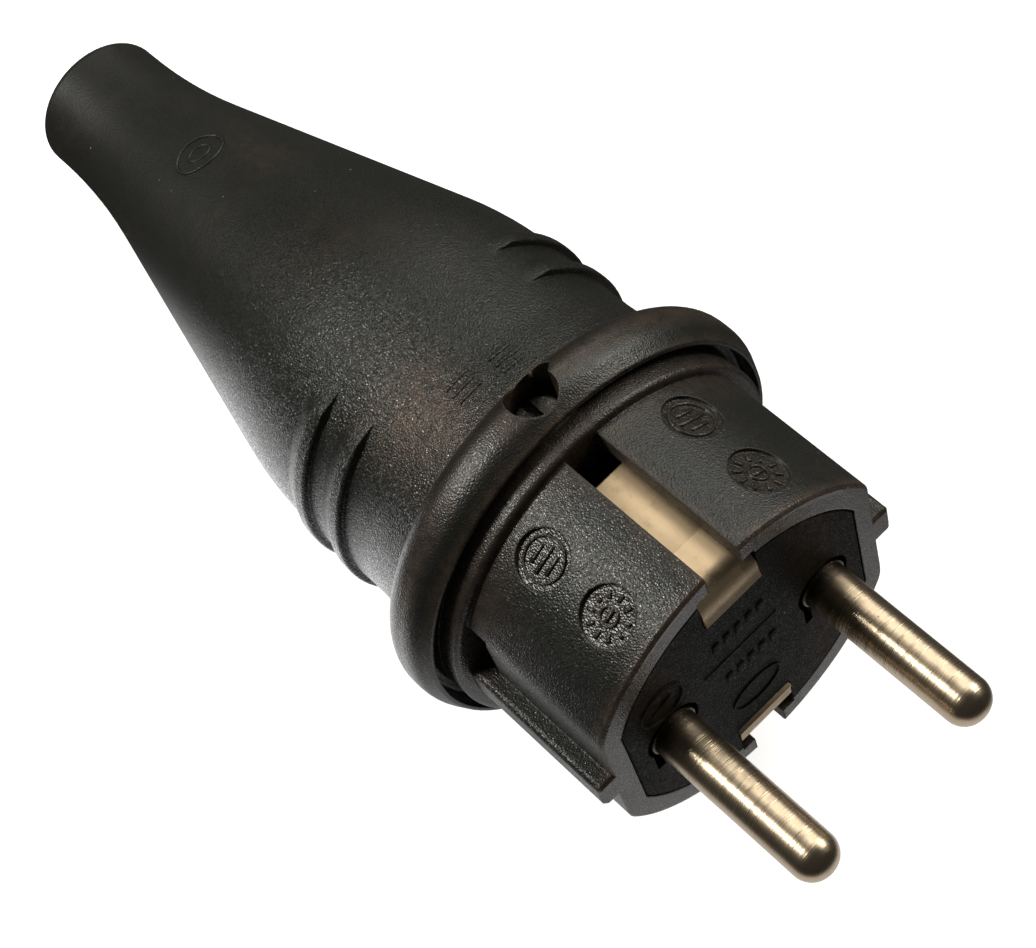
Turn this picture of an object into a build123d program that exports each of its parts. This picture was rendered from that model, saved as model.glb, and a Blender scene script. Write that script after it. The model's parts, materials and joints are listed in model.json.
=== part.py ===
from build123d import *
import os
from math import asin, atan2, degrees, hypot, sqrt, tan

# Two-pin earthed plug of black rubber, in millimetres.
# It is drawn with its axis along X: the front face is at x = 0, the pins
# point to +X and the cable neck to -X. At the end it is leaned back to lie
# on its flange and its grip, with X as its length and Z up.

# Live pins
PIN_DIAMETER = 4.8
PIN_SPACING = 19.0
PIN_REACH = 19.0
PIN_TIP_RADIUS = 2.2
PIN_SHANK_DIAMETER = 5.2
PIN_SHANK_PROUD = 0.1
PIN_BORE_CLEARANCE = 0.1
PIN_COLLAR_DIAMETER = 6.6
PIN_COLLAR_THICKNESS = 2.4
TERMINAL_SIDE = 7.0
TERMINAL_LENGTH = 9.0
TERMINAL_EDGE = 0.6
TERMINAL_ROOM = 1.14
CORE_HOLE_DIAMETER = 3.0
CORE_HOLE_DEPTH = 6.5

# Front shell: the part that goes into the socket
SHELL_RADIUS = 18.55
SHELL_WALL = 2.55
SHELL_LENGTH = 17.0
SHELL_FLAT_DEPTH = 2.05
SHELL_FLAT_ROUND = 4.0
SHELL_FRONT_EDGE = 0.3
KEY_PROUD = 1.8
KEY_HEIGHT = 3.8
KEY_ROUND = 0.6
DISC_THICKNESS = 2.4
DISC_EDGE = 0.5
SPIGOT_WALL = 1.8
SPIGOT_LENGTH = 8.0
FLAT_POCKET_LENGTH = 2.3
FLAT_POCKET_DEPTH = 1.5
MARK_RECESS_DIAMETER = 5.5
MARK_RECESS_DEPTH = 0.45
MARK_RECESS_ANGLE = 29.4
MARK_RECESS_FRONT = 4.9
MARK_RECESS_PITCH = 8.0

# Contact carrier: the hard insert
CARRIER_FLAT_DEPTH = 1.6
CARRIER_DEPTH = 12.0
CARRIER_CLEARANCE = 0.08
CARRIER_EDGE = 0.2
PIN_WELL_DIAMETER = 6.2
PIN_WELL_DEPTH = 1.6
PIN_NOTCH_WIDTH = 0.9
PIN_NOTCH_SHIFT = 2.3
PIN_NOTCH_REACH = 4.3
CHEEK_THICKNESS = 1.2
CHEEK_LENGTH = 15.5
CHEEK_GAP = 0.4
BOSS_LENGTH = 7.0
BOSS_HEIGHT = 6.15
BOSS_NUT_FLOOR = 1.4
CORE_CLEARANCE = 0.15

# Earth strip and its slots
SLOT_WIDTH = 3.8
STRIP_WIDTH = 6.6
STRIP_THICKNESS = 0.8
STRIP_SINK = 0.4
STRIP_CLEARANCE = 0.12
STRIP_BEND = 1.8
HOOK_PROUD = 0.1
HOOK_DROP = 2.5
HOOK_LIP = 1.0
HOOK_LIP_FLARE = 0.25
HOOK_ROOM = 0.25

# Boot: soft hood with the flange
FLANGE_HEIGHT = 4.1
FLANGE_WIDTH = 6.2
FLANGE_FRONT_ROUND = 3.0
FLANGE_FRONT_SLOPE = 1.9
FLANGE_FRONT_RISE = 1.35
LIP_LEAD = 0.6
LIP_GAP = 1.1
LIP_LAND = 0.35
LIP_EDGE = 0.2
LIP_GROOVE_DEPTH = 1.8
FLANGE_ROOT_ROUND = 0.9
GRIP_WALL = 1.35
GRIP_LENGTH = 21.7
GRIP_FLARE = 0.5
GRIP_FLARE_LENGTH = 6.0
FLARE_ROUND = 12.0
TAPER_ROUND = 40.0
NECK_RADIUS = 7.5
NECK_LENGTH = 9.2
NECK_STRAIGHT = 1.2
NECK_EDGE = 0.8
BOOT_LENGTH = 79.6
BOOT_WALL = 3.0
CABLE_BORE_DIAMETER = 9.6
BORE_MOUTH_ROUND = 0.6
BORE_ROUND = 20.0
CHAMBER_FRONT_ROUND = 1.0
SHOULDER_ROUND = 0.3
SPIGOT_FIT = 0.1
SPIGOT_END_GAP = 0.3

# Grip ribs, in pairs on both sides of the boot
RIB_COUNT = 2
RIB_STEP_BACK = 14.9
RIB_PITCH = 5.0
RIB_LENGTH = 2.9
RIB_CREST = 1.3
RIB_HEIGHT = 0.75
RIB_STEP_EDGE = 0.25
RIB_RAMP_ROUND = 1.6
RIB_SINK = 0.5
RIB_HALF_ANGLE = 45.5

# Screws that hold the boot, one at the top and one at the bottom
BOOT_SCREW_BACK = 3.0
BOOT_SCREW_DIAMETER = 3.0
BOOT_SCREW_HEAD = 4.6
BOOT_SCREW_HEAD_HEIGHT = 1.9
BOOT_SCREW_LENGTH = 6.5
BOOT_SEAT_DEPTH = 0.8
BOOT_POCKET_DIAMETER = 5.0
POCKET_NOTCH_WIDTH = 2.0
POCKET_NOTCH_BACK = 1.2
POCKET_NOTCH_SIDE = 1.9
BOOT_NUT_WIDTH = 5.4
BOOT_NUT_THICKNESS = 2.2

# Terminal screws in the pins
TERMINAL_SCREW_DIAMETER = 3.0
TERMINAL_SCREW_HEAD = 5.2
TERMINAL_SCREW_HEAD_HEIGHT = 2.0
TERMINAL_SCREW_BITE = 0.6

# Earth terminal
EARTH_SCREW_DIAMETER = 3.5
EARTH_SCREW_HEAD = 5.8
EARTH_SCREW_HEAD_HEIGHT = 2.2
EARTH_PLATE_SIDE = 6.4
EARTH_PLATE_THICKNESS = 1.0
EARTH_NUT_WIDTH = 6.2
EARTH_NUT_THICKNESS = 2.6
EARTH_SCREW_SPARE = 1.0

# Cord clamp: a cradle at the end of the carrier and a saddle over it
CLAMP_BACK = 37.5
CLAMP_LENGTH = 9.0
CLAMP_HALF_WIDTH = 11.6
CLAMP_DEPTH = 8.4
CLAMP_EDGE = 1.2
SADDLE_LENGTH = 7.4
SADDLE_FOOT = 2.6
SADDLE_ARCH_WALL = 1.6
CABLE_DIAMETER = 9.2
GRIP_RIDGE = 0.5
GRIP_RIDGE_FOOT = 1.0
CLAMP_SCREW_DIAMETER = 3.0
CLAMP_SCREW_HEAD = 4.8
CLAMP_SCREW_HEAD_HEIGHT = 2.0
CLAMP_SCREW_SPACING = 17.6
CLAMP_NUT_WIDTH = 5.5
CLAMP_NUT_THICKNESS = 2.4
BRIDGE_THICKNESS = 3.2

# Fits that are used in more than one place
THREAD_CLEARANCE = 0.1
NUT_CLEARANCE = 0.12
SCREW_SLOT_WIDTH = 0.9
SCREW_SLOT_DEPTH = 0.9
HEAD_EDGE = 0.35
CUT_MARGIN = 2.0

# Places and sizes that follow: across the axis from the terminals outwards
TERMINAL_REACH = hypot(PIN_SPACING / 2 + TERMINAL_SIDE / 2, TERMINAL_SIDE / 2)
SPIGOT_BORE_RADIUS = TERMINAL_REACH + TERMINAL_ROOM
SPIGOT_RADIUS = SPIGOT_BORE_RADIUS + SPIGOT_WALL
CORE_RADIUS = SPIGOT_BORE_RADIUS - CORE_CLEARANCE
BOSS_INNER_RADIUS = CORE_RADIUS - BOSS_HEIGHT
BOOT_SCREW_SEAT = SPIGOT_RADIUS - BOOT_SEAT_DEPTH
GRIP_RADIUS = SPIGOT_RADIUS + SPIGOT_FIT + GRIP_WALL
CHAMBER_RADIUS = GRIP_RADIUS - BOOT_WALL
FLANGE_RADIUS = GRIP_RADIUS + FLANGE_HEIGHT
FLANGE_REAR_ROUND = FLANGE_HEIGHT - GRIP_FLARE - FLANGE_ROOT_ROUND
LIP_RADIUS = FLANGE_RADIUS - FLANGE_FRONT_RISE
DISC_RADIUS = LIP_RADIUS - LIP_GAP
SHELL_FLAT_HALF = SHELL_RADIUS - SHELL_FLAT_DEPTH
KEY_HALF_REACH = SHELL_FLAT_HALF + KEY_PROUD
CARRIER_RADIUS = SHELL_RADIUS - SHELL_WALL
CARRIER_FLAT_HALF = CARRIER_RADIUS - CARRIER_FLAT_DEPTH
STRIP_TOP = CARRIER_RADIUS - STRIP_SINK
STRIP_MIDDLE = STRIP_TOP - STRIP_THICKNESS / 2
STRIP_CHANNEL_WIDTH = STRIP_WIDTH + 2 * STRIP_CLEARANCE
CHEEK_INNER = STRIP_WIDTH / 2 + CHEEK_GAP
CHEEK_OUTER = CHEEK_INNER + CHEEK_THICKNESS

# Places along the axis, from the front face backwards
DISC_REAR = -(SHELL_LENGTH + DISC_THICKNESS)
SPIGOT_END = DISC_REAR - SPIGOT_LENGTH
LIP_X = DISC_REAR + LIP_LEAD
FLANGE_REAR = LIP_X - FLANGE_WIDTH
GRIP_END = FLANGE_REAR - GRIP_LENGTH
TAIL_X = LIP_X - BOOT_LENGTH
TAPER_LENGTH = BOOT_LENGTH - FLANGE_WIDTH - GRIP_LENGTH - NECK_LENGTH
TAPER_ANGLE = atan2(GRIP_RADIUS - NECK_RADIUS, TAPER_LENGTH)
NECK_ROUND = (NECK_LENGTH - NECK_STRAIGHT - NECK_EDGE) / tan(TAPER_ANGLE / 2)
BOOT_SCREW_X = DISC_REAR - BOOT_SCREW_BACK
CHEEK_END = -CARRIER_DEPTH - CHEEK_LENGTH
CLAMP_X = -CLAMP_BACK
TERMINAL_FRONT = -CARRIER_DEPTH
TERMINAL_SCREW_X = TERMINAL_FRONT - TERMINAL_LENGTH + CORE_HOLE_DEPTH / 2


def block(x, y, z):
    """A box between its bounds, given as pairs of places."""
    size = Box(x[1] - x[0], y[1] - y[0], z[1] - z[0])
    return Pos(sum(x) / 2, sum(y) / 2, sum(z) / 2) * size


def rod(x, radius, y=0.0, z=0.0):
    """A cylinder along X between two places."""
    centre = Pos(sum(x) / 2, y, z)
    return centre * Rot(0, 90, 0) * Cylinder(radius, x[1] - x[0])


def post(z, radius, x=0.0, y=0.0):
    """A cylinder along Z between two heights."""
    return Pos(x, y, sum(z) / 2) * Cylinder(radius, z[1] - z[0])


def turned(points, rounds):
    """A solid turned about the plug's axis from an outline of (x, radius) corners."""
    corners = [(x, 0, radius) for x, radius in points]
    outline = FilletPolyline(*corners, radius=rounds, close=True)
    return revolve(make_face(outline), Axis.X)


def cut_disc(x, radius, flat_half):
    """A disc across the axis with a flat on each side."""
    return rod(x, radius) & block(x, (-flat_half, flat_half), (-radius, radius))


def machine_screw(diameter, head, head_height, length):
    """A slotted screw that points down, with the underside of its head at z = 0."""
    shank = post((-length, 0), diameter / 2)
    shank = chamfer(shank.edges().group_by(Axis.Z)[0], diameter / 8)
    top = post((0, head_height), head / 2)
    top = fillet(top.edges().group_by(Axis.Z)[-1], HEAD_EDGE)
    slot_floor = head_height - SCREW_SLOT_DEPTH
    half_slot = SCREW_SLOT_WIDTH / 2
    slot = block((-head, head), (-half_slot, half_slot), (slot_floor, head_height + CUT_MARGIN))
    return shank + top - slot


def square_nut(width, thickness, bore_diameter):
    """A square nut that lies between z = 0 and its thickness."""
    body = block((-width / 2, width / 2), (-width / 2, width / 2), (0, thickness))
    body = chamfer(body.edges().filter_by(Axis.Z), width / 10)
    return body - post((-CUT_MARGIN, thickness + CUT_MARGIN), bore_diameter / 2 + THREAD_CLEARANCE)


def both_sides(shape):
    """The shape and its mirror image on the other side of the XZ plane."""
    return shape + mirror(shape, Plane.XZ)


def top_and_bottom(shape):
    """The shape and its mirror image on the other side of the XY plane."""
    return shape + mirror(shape, Plane.XY)


def strip_centreline():
    """The middle line of the earth strip's upper half, from the axis to its hook."""
    bridge_x = -CARRIER_DEPTH - STRIP_THICKNESS / 2
    hook_x = HOOK_PROUD - STRIP_THICKNESS / 2
    hook_z = STRIP_MIDDLE - HOOK_DROP
    points = [
        (bridge_x, 0, 0),
        (bridge_x, 0, STRIP_MIDDLE),
        (hook_x, 0, STRIP_MIDDLE),
        (hook_x, 0, hook_z),
        (hook_x + HOOK_LIP_FLARE, 0, hook_z - HOOK_LIP),
    ]
    return FilletPolyline(*points, radius=[STRIP_BEND, STRIP_BEND, STRIP_BEND])


def make_earth_strip():
    """One folded strip: a bridge behind the carrier and a contact in each slot."""
    line = strip_centreline()
    section = Plane(origin=line @ 0, x_dir=(0, 1, 0), z_dir=line % 0)
    half = sweep(section * Rectangle(STRIP_WIDTH, STRIP_THICKNESS), path=line)
    strip = top_and_bottom(half)
    hole = EARTH_SCREW_DIAMETER / 2 + THREAD_CLEARANCE
    return strip - rod((-CARRIER_DEPTH - CUT_MARGIN, -CARRIER_DEPTH + CUT_MARGIN), hole)


def strip_channels():
    """The room that the two contacts take in the carrier and in the sleeve."""
    half_width = STRIP_CHANNEL_WIDTH / 2
    floor = STRIP_TOP - STRIP_THICKNESS - STRIP_CLEARANCE
    roof = CARRIER_RADIUS + STRIP_CLEARANCE
    width = (-half_width, half_width)
    run = block((-SHELL_LENGTH, CUT_MARGIN), width, (floor, roof))
    hook_floor = STRIP_MIDDLE - HOOK_DROP - HOOK_LIP - HOOK_ROOM
    hook_back = HOOK_PROUD - STRIP_THICKNESS - STRIP_BEND
    hook_room = block((hook_back, CUT_MARGIN), width, (hook_floor, roof))
    bend_room = block((-SHELL_LENGTH, STRIP_BEND - CARRIER_DEPTH), width, (floor - STRIP_BEND, roof))
    rear_room = block((-SHELL_LENGTH, -CARRIER_DEPTH), width, (0, roof))
    return top_and_bottom(run + hook_room + bend_room + rear_room)


def make_front_shell():
    """Rubber sleeve with keys and slots, base disc and the spigot for the boot."""
    length = (-SHELL_LENGTH, 0)
    sleeve = cut_disc(length, SHELL_RADIUS, SHELL_FLAT_HALF)
    sleeve = fillet(sleeve.edges().filter_by(Axis.X), SHELL_FLAT_ROUND)
    half_key = KEY_HEIGHT / 2
    key = block(length, (0, KEY_HALF_REACH), (-half_key, half_key))
    key = fillet(key.edges().filter_by(Axis.X).group_by(Axis.Y)[-1], KEY_ROUND)
    sleeve += both_sides(key)
    sleeve = chamfer(sleeve.edges().group_by(Axis.X)[-1], SHELL_FRONT_EDGE)
    disc = rod((DISC_REAR, -SHELL_LENGTH), DISC_RADIUS)
    disc = fillet(disc.edges().group_by(Axis.X)[-1], DISC_EDGE)
    shell = sleeve + disc + rod((SPIGOT_END, DISC_REAR), SPIGOT_RADIUS)
    shell -= cut_disc((-SHELL_LENGTH, CUT_MARGIN), CARRIER_RADIUS, CARRIER_FLAT_HALF)
    shell -= rod((SPIGOT_END - CUT_MARGIN, -SHELL_LENGTH), SPIGOT_BORE_RADIUS)
    shell -= strip_channels()
    half_slot = SLOT_WIDTH / 2
    slot = block((-SHELL_LENGTH, CUT_MARGIN), (-half_slot, half_slot), (0, SHELL_RADIUS + CUT_MARGIN))
    shell -= top_and_bottom(slot)
    shell -= both_sides(top_and_bottom(flat_pocket()))
    shell -= mark_recesses()
    shell -= top_and_bottom(boot_screw_room())
    return shell


def flat_pocket():
    """The dark pocket at the rear end of a flat, over the key on the right side."""
    x = (-SHELL_LENGTH, -SHELL_LENGTH + FLAT_POCKET_LENGTH)
    y = (SHELL_FLAT_HALF - FLAT_POCKET_DEPTH, SHELL_FLAT_HALF + CUT_MARGIN)
    flat_top = sqrt(SHELL_RADIUS**2 - SHELL_FLAT_HALF**2)
    return block(x, y, (KEY_HEIGHT / 2, flat_top))


def mark_recesses():
    """Four shallow round recesses in the upper side of the sleeve."""
    floor = SHELL_RADIUS - MARK_RECESS_DEPTH
    recess = post((floor, SHELL_RADIUS + CUT_MARGIN), MARK_RECESS_DIAMETER / 2)
    room = Part()
    for back in (MARK_RECESS_FRONT, MARK_RECESS_FRONT + MARK_RECESS_PITCH):
        for angle in (-MARK_RECESS_ANGLE, MARK_RECESS_ANGLE):
            room += Pos(-back, 0, 0) * Rot(angle, 0, 0) * recess
    return room


def boot_screw_room():
    """The head's seat and the shank's hole of the upper boot screw."""
    head_room = post((BOOT_SCREW_SEAT, FLANGE_RADIUS), BOOT_POCKET_DIAMETER / 2, BOOT_SCREW_X)
    shank = BOOT_SCREW_DIAMETER / 2 + THREAD_CLEARANCE
    return head_room + post((BOSS_INNER_RADIUS - CUT_MARGIN, BOOT_SCREW_SEAT), shank, BOOT_SCREW_X)


def make_contact_carrier():
    """Hard insert: front disc, cheeks, screw bosses, bridge and cord cradle."""
    radius = CARRIER_RADIUS - CARRIER_CLEARANCE
    carrier = cut_disc((-CARRIER_DEPTH, 0), radius, CARRIER_FLAT_HALF - CARRIER_CLEARANCE)
    carrier = chamfer(carrier.edges().group_by(Axis.X)[-1], CARRIER_EDGE)
    rear = (CHEEK_END, -CARRIER_DEPTH)
    tall = (-CORE_RADIUS, CORE_RADIUS)
    cheeks = both_sides(block(rear, (CHEEK_INNER, CHEEK_OUTER), tall))
    boss_x = (BOOT_SCREW_X - BOSS_LENGTH / 2, BOOT_SCREW_X + BOSS_LENGTH / 2)
    boss = block(boss_x, (-CHEEK_OUTER, CHEEK_OUTER), (BOSS_INNER_RADIUS, CORE_RADIUS))
    cradle_x = (CLAMP_X - CLAMP_LENGTH / 2, CLAMP_X + CLAMP_LENGTH / 2)
    cradle = block(cradle_x, (-CLAMP_HALF_WIDTH, CLAMP_HALF_WIDTH), (-CLAMP_DEPTH, 0))
    cradle = chamfer(cradle.edges().filter_by(Axis.X).group_by(Axis.Z)[0], CLAMP_EDGE)
    bridge_z = (-CLAMP_DEPTH, -CLAMP_DEPTH + BRIDGE_THICKNESS)
    bridge = block((cradle_x[1], CHEEK_END + CUT_MARGIN), (-CHEEK_OUTER, CHEEK_OUTER), bridge_z)
    core = cheeks + top_and_bottom(boss) + cradle + bridge
    core &= rod((cradle_x[0], -CARRIER_DEPTH), CORE_RADIUS)
    carrier += core
    carrier -= strip_channels() - rod((SPIGOT_END, -CARRIER_DEPTH), SHELL_RADIUS)
    carrier -= pin_rooms()
    carrier -= earth_nut_room()
    carrier -= top_and_bottom(boot_screw_room() + boot_nut_room())
    carrier -= rod((cradle_x[0] - CUT_MARGIN, CHEEK_END + CUT_MARGIN), CABLE_DIAMETER / 2)
    carrier -= both_sides(clamp_screw_room())
    return carrier


def pin_rooms():
    """Bore, front well with its notch, and collar seat for both pins."""
    y = PIN_SPACING / 2
    room = rod((-CARRIER_DEPTH, CUT_MARGIN), PIN_SHANK_DIAMETER / 2 + PIN_BORE_CLEARANCE, y)
    room += rod((-PIN_WELL_DEPTH, CUT_MARGIN), PIN_WELL_DIAMETER / 2, y)
    collar = PIN_COLLAR_DIAMETER / 2 + PIN_BORE_CLEARANCE
    room += rod((-CARRIER_DEPTH - CUT_MARGIN, -CARRIER_DEPTH + PIN_COLLAR_THICKNESS), collar, y)
    notch_middle = y - PIN_NOTCH_SHIFT
    notch_y = (notch_middle - PIN_NOTCH_WIDTH / 2, notch_middle + PIN_NOTCH_WIDTH / 2)
    notch = block((-PIN_WELL_DEPTH, CUT_MARGIN), notch_y, (-PIN_NOTCH_REACH, 0))
    return both_sides(room) + notch + Pos(0, -PIN_SPACING, 0) * notch


def earth_nut_room():
    """A square pocket in the carrier's rear face and the screw's hole before it."""
    half = EARTH_NUT_WIDTH / 2 + NUT_CLEARANCE
    front = -CARRIER_DEPTH + EARTH_NUT_THICKNESS
    pocket = block((-CARRIER_DEPTH - CUT_MARGIN, front), (-half, half), (-half, half))
    tip = front + EARTH_SCREW_SPARE + CUT_MARGIN
    return pocket + rod((-CARRIER_DEPTH, tip), EARTH_SCREW_DIAMETER / 2 + THREAD_CLEARANCE)


def boot_nut_floor():
    """Height of the lower face of the upper boot nut."""
    return BOSS_INNER_RADIUS + BOSS_NUT_FLOOR


def boot_nut_room():
    """The slot in the boss, open to the rear, that the boot nut slides into."""
    half = BOOT_NUT_WIDTH / 2 + NUT_CLEARANCE
    boss_end = BOOT_SCREW_X - BOSS_LENGTH / 2
    floor = boot_nut_floor() - NUT_CLEARANCE
    roof = boot_nut_floor() + BOOT_NUT_THICKNESS
    return block((boss_end - CUT_MARGIN, BOOT_SCREW_X + half), (-half, half), (floor, roof))


def clamp_screw_room():
    """The hole through the cradle and the nut's pocket under it, on the right side."""
    y = CLAMP_SCREW_SPACING / 2
    hole = CLAMP_SCREW_DIAMETER / 2 + THREAD_CLEARANCE
    room = post((-CLAMP_DEPTH - CUT_MARGIN, CUT_MARGIN), hole, CLAMP_X, y)
    half = CLAMP_NUT_WIDTH / 2 + NUT_CLEARANCE
    pocket_x = (CLAMP_X - half, CLAMP_X + half)
    pocket_y = (y - half, y + half + CUT_MARGIN)
    pocket_z = (-CLAMP_DEPTH - CUT_MARGIN, -CLAMP_DEPTH + CLAMP_NUT_THICKNESS)
    return room + block(pocket_x, pocket_y, pocket_z)


def make_contact_pin():
    """A turned pin with its shank, collar, terminal block, core hole and screw hole."""
    tip = rod((-CARRIER_DEPTH, PIN_REACH), PIN_DIAMETER / 2)
    tip = fillet(tip.edges().group_by(Axis.X)[-1], PIN_TIP_RADIUS)
    shank = rod((-CARRIER_DEPTH, PIN_SHANK_PROUD), PIN_SHANK_DIAMETER / 2)
    collar = rod((-CARRIER_DEPTH, -CARRIER_DEPTH + PIN_COLLAR_THICKNESS), PIN_COLLAR_DIAMETER / 2)
    half = TERMINAL_SIDE / 2
    rear = TERMINAL_FRONT - TERMINAL_LENGTH
    terminal = block((rear, TERMINAL_FRONT), (-half, half), (-half, half))
    terminal = fillet(terminal.edges().filter_by(Axis.X), TERMINAL_EDGE)
    pin = tip + shank + collar + terminal
    pin -= rod((rear - CUT_MARGIN, rear + CORE_HOLE_DEPTH), CORE_HOLE_DIAMETER / 2)
    hole = TERMINAL_SCREW_DIAMETER / 2 + THREAD_CLEARANCE
    return pin - post((-TERMINAL_SCREW_BITE, half + CUT_MARGIN), hole, TERMINAL_SCREW_X)


def make_terminal_screw():
    """The screw that presses a core in the pin's terminal."""
    half = TERMINAL_SIDE / 2
    length = half + TERMINAL_SCREW_BITE
    head = (TERMINAL_SCREW_HEAD, TERMINAL_SCREW_HEAD_HEIGHT)
    return Pos(TERMINAL_SCREW_X, 0, half) * machine_screw(TERMINAL_SCREW_DIAMETER, *head, length)


def make_earth_terminal():
    """Screw, clamp plate and nut of the earth terminal."""
    bridge_rear = -CARRIER_DEPTH - STRIP_THICKNESS
    half = EARTH_PLATE_SIDE / 2
    plate_x = (bridge_rear - EARTH_PLATE_THICKNESS, bridge_rear)
    plate = block(plate_x, (-half, half), (-half, half))
    plate -= rod(plate_x, EARTH_SCREW_DIAMETER / 2 + THREAD_CLEARANCE)
    length = EARTH_PLATE_THICKNESS + STRIP_THICKNESS + EARTH_NUT_THICKNESS + EARTH_SCREW_SPARE
    screw = machine_screw(EARTH_SCREW_DIAMETER, EARTH_SCREW_HEAD, EARTH_SCREW_HEAD_HEIGHT, length)
    screw = Pos(plate_x[0], 0, 0) * Rot(0, -90, 0) * screw
    nut = square_nut(EARTH_NUT_WIDTH, EARTH_NUT_THICKNESS, EARTH_SCREW_DIAMETER)
    nut = Pos(-CARRIER_DEPTH, 0, 0) * Rot(0, 90, 0) * nut
    return screw, plate, nut


def boot_outline():
    """The boot's outer corners from the lip back to the tail, with their rounds."""
    front_x = LIP_X - FLANGE_FRONT_SLOPE
    flare_end = FLANGE_REAR - GRIP_FLARE_LENGTH
    corners = [
        (LIP_X, LIP_RADIUS),
        (LIP_X, LIP_RADIUS + LIP_LAND),
        (front_x, FLANGE_RADIUS),
        (FLANGE_REAR, FLANGE_RADIUS),
        (FLANGE_REAR, GRIP_RADIUS + GRIP_FLARE),
        (flare_end, GRIP_RADIUS),
        (GRIP_END, GRIP_RADIUS),
        (GRIP_END - TAPER_LENGTH, NECK_RADIUS),
        (TAIL_X, NECK_RADIUS),
    ]
    rounds = [0, LIP_EDGE, FLANGE_FRONT_ROUND, FLANGE_REAR_ROUND, FLANGE_ROOT_ROUND, FLARE_ROUND]
    return corners, rounds + [TAPER_ROUND, NECK_ROUND, NECK_EDGE]


def boot_bore():
    """The boot's inner corners from the tail forward to the lip, with their rounds."""
    bore = CABLE_BORE_DIAMETER / 2
    spigot = SPIGOT_RADIUS + SPIGOT_FIT
    spigot_end = SPIGOT_END - SPIGOT_END_GAP
    cone_length = (CHAMBER_RADIUS - bore) / tan(TAPER_ANGLE)
    groove_rear = DISC_REAR - LIP_GROOVE_DEPTH
    corners = [
        (TAIL_X, bore),
        (GRIP_END - cone_length, bore),
        (GRIP_END, CHAMBER_RADIUS),
        (spigot_end, CHAMBER_RADIUS),
        (spigot_end, spigot),
        (DISC_REAR, spigot),
        (DISC_REAR, DISC_RADIUS),
        (groove_rear, DISC_RADIUS),
        (groove_rear, LIP_RADIUS),
    ]
    rounds = [BORE_MOUTH_ROUND, BORE_ROUND, BORE_ROUND, CHAMBER_FRONT_ROUND, 0, 0, 0]
    return corners, rounds + [SHOULDER_ROUND, SHOULDER_ROUND]


def grip_rib(step_x):
    """One rib on the right side: a sharp step to the front, a ramp to the rear, round ends."""
    top = GRIP_RADIUS + RIB_HEIGHT
    sunk = GRIP_RADIUS - RIB_SINK
    ramp_run = (RIB_LENGTH - RIB_CREST) / RIB_HEIGHT
    corners = [
        (step_x, 0, sunk),
        (step_x, 0, top),
        (step_x - RIB_CREST, 0, top),
        (step_x - RIB_LENGTH - RIB_SINK * ramp_run, 0, sunk),
    ]
    outline = FilletPolyline(*corners, radius=[0, RIB_STEP_EDGE, RIB_RAMP_ROUND, 0], close=True)
    section = make_face(outline)
    corner = Axis((step_x, 0, 0), (0, 0, 1))
    lower_turn = Rot(-90 - RIB_HALF_ANGLE, 0, 0)
    upper_turn = Rot(-90 + RIB_HALF_ANGLE, 0, 0)
    rib = revolve(lower_turn * section, Axis.X, 2 * RIB_HALF_ANGLE)
    rib += lower_turn * revolve(section, corner, -90)
    return rib + upper_turn * revolve(section, corner, 90)


def boot_pocket():
    """The room for the upper boot screw's head, with a small notch beside it."""
    reach = (CHAMBER_RADIUS, FLANGE_RADIUS + CUT_MARGIN)
    pocket = post(reach, BOOT_POCKET_DIAMETER / 2, BOOT_SCREW_X)
    half = POCKET_NOTCH_WIDTH / 2
    notch = Rot(0, 0, 45) * block((-half, half), (-half, half), reach)
    return pocket + Pos(BOOT_SCREW_X - POCKET_NOTCH_BACK, POCKET_NOTCH_SIDE, 0) * notch


def make_rear_boot():
    """Soft hood: flange, grip with ribs, taper and cable neck, hollow inside."""
    outer, outer_rounds = boot_outline()
    inner, inner_rounds = boot_bore()
    boot = turned(outer + inner, outer_rounds + inner_rounds)
    for index in range(RIB_COUNT):
        step_x = FLANGE_REAR - RIB_STEP_BACK + index * RIB_PITCH
        boot += both_sides(grip_rib(step_x))
    return boot - top_and_bottom(boot_pocket())


def make_cord_clamp():
    """Moulded saddle: two feet with screw holes and an arch with grip ridges."""
    x = (CLAMP_X - SADDLE_LENGTH / 2, CLAMP_X + SADDLE_LENGTH / 2)
    feet = block(x, (-CLAMP_HALF_WIDTH, CLAMP_HALF_WIDTH), (0, SADDLE_FOOT))
    arch_radius = CABLE_DIAMETER / 2 + SADDLE_ARCH_WALL
    arch = rod(x, arch_radius) & block(x, (-arch_radius, arch_radius), (0, arch_radius))
    saddle = feet + arch - rod((x[0] - CUT_MARGIN, x[1] + CUT_MARGIN), CABLE_DIAMETER / 2)
    ridge_radius = CABLE_DIAMETER / 2
    for shift in (-1, 1):
        middle = CLAMP_X + shift * SADDLE_LENGTH / 4
        ridge_x = (middle - GRIP_RIDGE, middle + GRIP_RIDGE)
        ring = rod(ridge_x, ridge_radius + GRIP_RIDGE) - rod(ridge_x, ridge_radius - GRIP_RIDGE)
        saddle += ring & block(ridge_x, (-ridge_radius, ridge_radius), (GRIP_RIDGE_FOOT, arch_radius))
    hole = CLAMP_SCREW_DIAMETER / 2 + THREAD_CLEARANCE
    holes = post((-CUT_MARGIN, SADDLE_FOOT + CUT_MARGIN), hole, CLAMP_X, CLAMP_SCREW_SPACING / 2)
    return saddle - both_sides(holes)


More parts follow.
